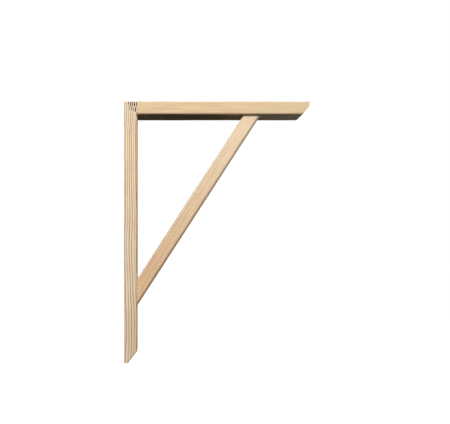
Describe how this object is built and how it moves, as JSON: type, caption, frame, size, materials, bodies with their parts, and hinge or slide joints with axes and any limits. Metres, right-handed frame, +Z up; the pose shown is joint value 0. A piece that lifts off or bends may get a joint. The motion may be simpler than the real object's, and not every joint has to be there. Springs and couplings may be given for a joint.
{
  "type": "wooden shelf bracket",
  "caption": "Plain softwood shelf bracket: upright and arm finger-jointed at the corner, with a slanting brace between them and bevelled ends.",
  "frame": {"origin": "centre of the upright's flat face that lies against the wall", "axes": "+X out from the wall along the arm, +Y along the wall, +Z up"},
  "size_m": [0.283, 0.02, 0.4],
  "materials": {
    "upright_pine": "planed, unvarnished",
    "arm_pine": "planed, unvarnished",
    "brace_pine": "planed, unvarnished"
  },
  "bodies": {
    "root": {"upright": "upright_pine", "arm": "arm_pine", "brace": "brace_pine"}
  },
  "joints": []
}
